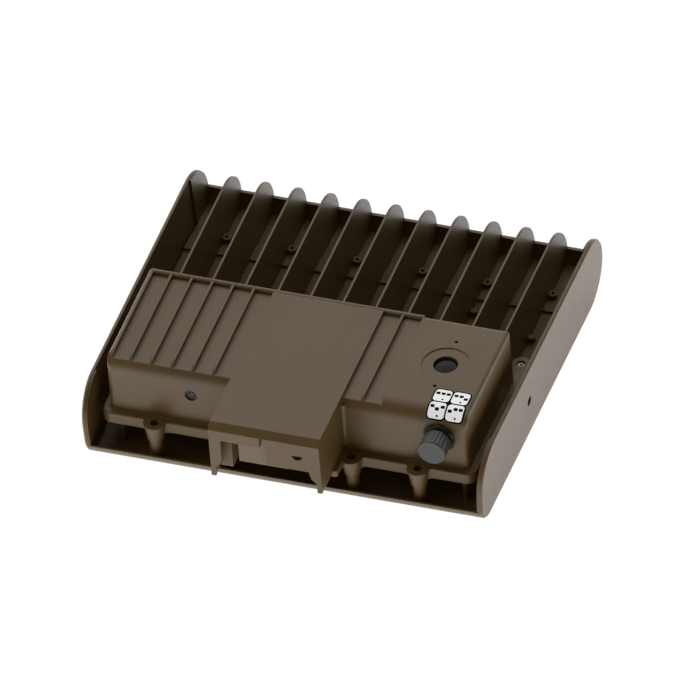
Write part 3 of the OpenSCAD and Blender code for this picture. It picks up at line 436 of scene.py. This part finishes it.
for node, (axis, side, head) in screws["kinds"].items():
    points, faces = joined([screwShape(screws, low, high, axis, side, head) for low, high in islands(node)])
    name = node.replace("_", " ").title().replace(" ", "")
    piece = meshPiece(name, points, faces, "zincSteel", "housing")
    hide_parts(node)
print("screws: made")

# selector port: a hexagonal flange with a chamfered front, then a threaded spigot that is bored through
port = {"middle": (0.131, 0.073), "wall": -0.1147, "steps": 96, "hexFlat": 0.0125, "hexRound": 0.0141,
        "hexFrom": 0.0025, "hexTo": 0.0045, "hexFace": 1.04, "chamfer": 0.0007, "barrel": 0.0088,
        "end": 0.0134, "endRim": 0.0005, "back": -0.012, "pitch": 0.0015, "thread": 0.0006, "rows": 64,
        "threadGap": 0.0004, "fadeIn": 0.001, "fadeOut": 0.0006, "grooveSlope": 2.6, "grooveCrest": 0.3,
        "bore": 0.0068, "boreEnd": 0.0051, "hole": 0.005}


def ringPiece(c, radii, outs):
    # radii[row, turn] round the port's axis at the distance outs[row] in front of the wall
    turns = np.linspace(0, 2 * np.pi, radii.shape[1], endpoint=False)
    x = c["middle"][0] + radii * np.cos(turns)
    z = c["middle"][1] + radii * np.sin(turns)
    y = np.broadcast_to((c["wall"] - np.array(outs))[:, None], x.shape)
    return np.stack([x, y, z], -1).reshape(-1, 3), gridFaces(len(outs), radii.shape[1])


def makePort(c):
    # thread: r falls by a triangle wave of out / pitch - turn / 2 pi, which fades out at both ends
    turns = np.linspace(0, 2 * np.pi, c["steps"], endpoint=False)
    plain = np.ones(c["steps"])
    hexR = c["hexFlat"] / np.cos((turns + np.pi / 6) % (np.pi / 3) - np.pi / 6)
    hexR = np.minimum(hexR, c["hexRound"])
    face = np.minimum(hexR, c["hexFlat"] * c["hexFace"]) - c["chamfer"] * 0.5
    out = np.linspace(c["hexTo"] + c["threadGap"], c["end"] - c["threadGap"], c["rows"])
    phase = (out[:, None] / c["pitch"] - turns / (2 * np.pi)) % 1
    fade = np.clip((out - out[0]) / c["fadeIn"], 0, 1) * np.clip((out[-1] - out) / c["fadeOut"], 0, 1)
    groove = np.clip(np.abs(phase - 0.5) * c["grooveSlope"] - c["grooveCrest"], 0, 1)
    threads = c["barrel"] - c["thread"] * groove * fade[:, None]
    barrel = c["barrel"] * plain
    first = [c["hole"] * plain, barrel, barrel, hexR, hexR, face, barrel]
    firstOut = [c["back"], c["back"], c["hexFrom"], c["hexFrom"], c["hexTo"] - c["chamfer"], c["hexTo"],
                c["hexTo"]]
    last = [r * plain for r in (c["barrel"] - c["endRim"], c["bore"], c["bore"], c["hole"], c["hole"])]
    lastOut = [c["end"], c["end"], c["boreEnd"], c["boreEnd"], c["back"]]
    return ringPiece(c, np.array(first + list(threads) + last), firstOut + list(out) + lastOut)


points, faces = makePort(port)
portPiece = meshPiece("selectorPort", points, faces, "blackNylon", "housing", False)
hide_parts("selector_port")
print("selector port: made")

# selector cap: a revolved wall with rounded ribs, closed in front by a flat face with a soft rim
cap = {"middle": (0.131, 0.073), "wall": -0.1207, "length": 0.0155, "r": 0.0117, "ribs": 20, "steps": 16,
       "ribDepth": 0.0007, "ribSharp": 2.2, "ribFrom": 0.0012, "ribFadeIn": 0.0008, "ribTo": 0.0009,
       "ribFadeOut": 0.0016, "mouth": (0.0, 0.0003, 0.0012, 0.002), "mouthIn": 0.0004,
       "wallFrom": 0.003, "wallRows": 8, "rim": 0.0009, "rimRows": 7, "bore": 0.00885, "boreDepth": 0.0129,
       "boreRim": 0.0005, "boreMiddle": 0.004, "faceIn": (0.0003, 0.002, 0.005, 0.008, 0.0105, 1)}


def makeCap(c):
    # r(turn, out) is the wall's radius less narrow grooves, which fade towards both ends
    turns = np.linspace(0, 2 * np.pi, c["ribs"] * c["steps"], endpoint=False)
    bend = np.linspace(0, np.pi / 2, c["rimRows"])
    rimOut = c["length"] - c["rim"] + c["rim"] * np.sin(bend)
    rimR = c["r"] - c["rim"] + c["rim"] * np.cos(bend)
    wall = np.linspace(c["wallFrom"], c["length"] - c["wallFrom"], c["wallRows"])
    out = np.concatenate([c["mouth"], wall, rimOut])
    straight = np.full(len(c["mouth"]) - 1 + c["wallRows"], c["r"])
    radius = np.concatenate([[c["r"] - c["mouthIn"]], straight, rimR])
    fade = np.clip((out - c["ribFrom"]) / c["ribFadeIn"], 0, 1)
    fade = fade * np.clip((c["length"] - c["ribTo"] - out) / c["ribFadeOut"], 0, 1)
    groove = (0.5 + 0.5 * np.cos(turns * c["ribs"])) ** c["ribSharp"]
    outer = radius[:, None] - c["ribDepth"] * fade[:, None] * groove
    plain = np.ones(len(turns))
    inner = [r * plain for r in (0, c["boreMiddle"], c["bore"] - c["boreRim"], c["bore"], c["bore"])]
    innerOut = [c["boreDepth"]] * 3 + [c["boreDepth"] - c["boreRim"], 0.0]
    face = [max(c["r"] - c["rim"] - inset, 0) * plain for inset in c["faceIn"]]
    outs = innerOut + list(out) + [c["length"]] * len(face)
    return ringPiece(c, np.array(inner + list(outer) + face), outs)


points, faces = makeCap(cap)
capPiece = meshPiece("selectorCap", points, faces, "capNylon", "cap")
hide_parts("selector_cap")
print("selector cap: made")

# floor and world: both show white to the camera; the world's light is dim round the camera, low and to +X
studio = {"world": 1.5, "shade": 0.0, "fill": 0.3, "shadeSpan": (0.45, 0.76), "horizon": 0.4,
          "horizonSpan": (0.1, 0.6), "right": 0.9, "rightSpan": (0.2, 0.8), "floorGlow": 1.1,
          "floorPale": 0.8, "floorSeen": 0.95, "floorSize": 30.0, "floorZ": -0.0005}
white = (1.0, 1.0, 1.0)


def makeWorld(c):
    world = bpy.data.worlds.new("studio")
    bpy.context.scene.world = world
    world.use_nodes = True
    s = Sheet(world.node_tree)
    way = s.add("ShaderNodeTexCoord", {}, {}, "Generated")
    along = {k: s.add("ShaderNodeSeparateXYZ", {}, {0: way}, k) for k in "XZ"}
    grey = s.spread(s.dot(way, camera["back"]), 1.0, c["shade"], *c["shadeSpan"])
    low = s.spread(along["Z"], c["horizon"], 1.0, *c["horizonSpan"])
    right = s.spread(along["X"], 1.0, 1 - c["right"], *c["rightSpan"])
    mirrored = s.add("ShaderNodeLightPath", {}, {}, "Is Glossy Ray")
    shade = grey + (1 - grey) * (1 - mirrored) * c["fill"]  # other rays find the dark part partly filled
    level = shade * low * right * c["world"]
    light = s.add("ShaderNodeBackground", {}, {"Color": white, "Strength": level})
    plain = s.add("ShaderNodeBackground", {}, {"Color": white, "Strength": 1.0})
    seen = s.add("ShaderNodeLightPath", {}, {}, "Is Camera Ray")
    both = s.add("ShaderNodeMixShader", {}, {0: seen, 1: light, 2: plain})
    s.add("ShaderNodeOutputWorld", {}, {"Surface": both})


def makeFloor(c):
    half = c["floorSize"] / 2
    corners = [(x * half, y * half, c["floorZ"]) for x, y in ((-1, -1), (1, -1), (1, 1), (-1, 1))]
    mesh = bpy.data.meshes.new("floor")
    mesh.from_pydata(corners, [], [(0, 1, 2, 3)])
    floor = bpy.data.objects.new("floor", mesh)
    bpy.context.scene.collection.objects.link(floor)
    material = bpy.data.materials.new("floorWhite")
    material.use_nodes = True
    s = Sheet(material.node_tree)
    pale = s.add("ShaderNodeBsdfDiffuse", {}, {"Color": (c["floorPale"],) * 3})
    under = s.add("ShaderNodeEmission", {}, {"Color": white, "Strength": c["floorGlow"]})
    diffuse = s.add("ShaderNodeAddShader", {}, {0: pale, 1: under})
    glow = s.add("ShaderNodeEmission", {}, {"Color": white, "Strength": 1.0})
    seen = s.add("ShaderNodeLightPath", {}, {}, "Is Camera Ray")
    through = s.add("ShaderNodeLightPath", {}, {}, "Is Transmission Ray")
    share = (seen * c["floorSeen"] + through).clamped()
    both = s.add("ShaderNodeMixShader", {}, {0: share, 1: diffuse, 2: glow})
    s.add("ShaderNodeOutputMaterial", {}, {"Surface": both})
    mesh.materials.append(material)


makeWorld(studio)
makeFloor(studio)
print("studio: made")
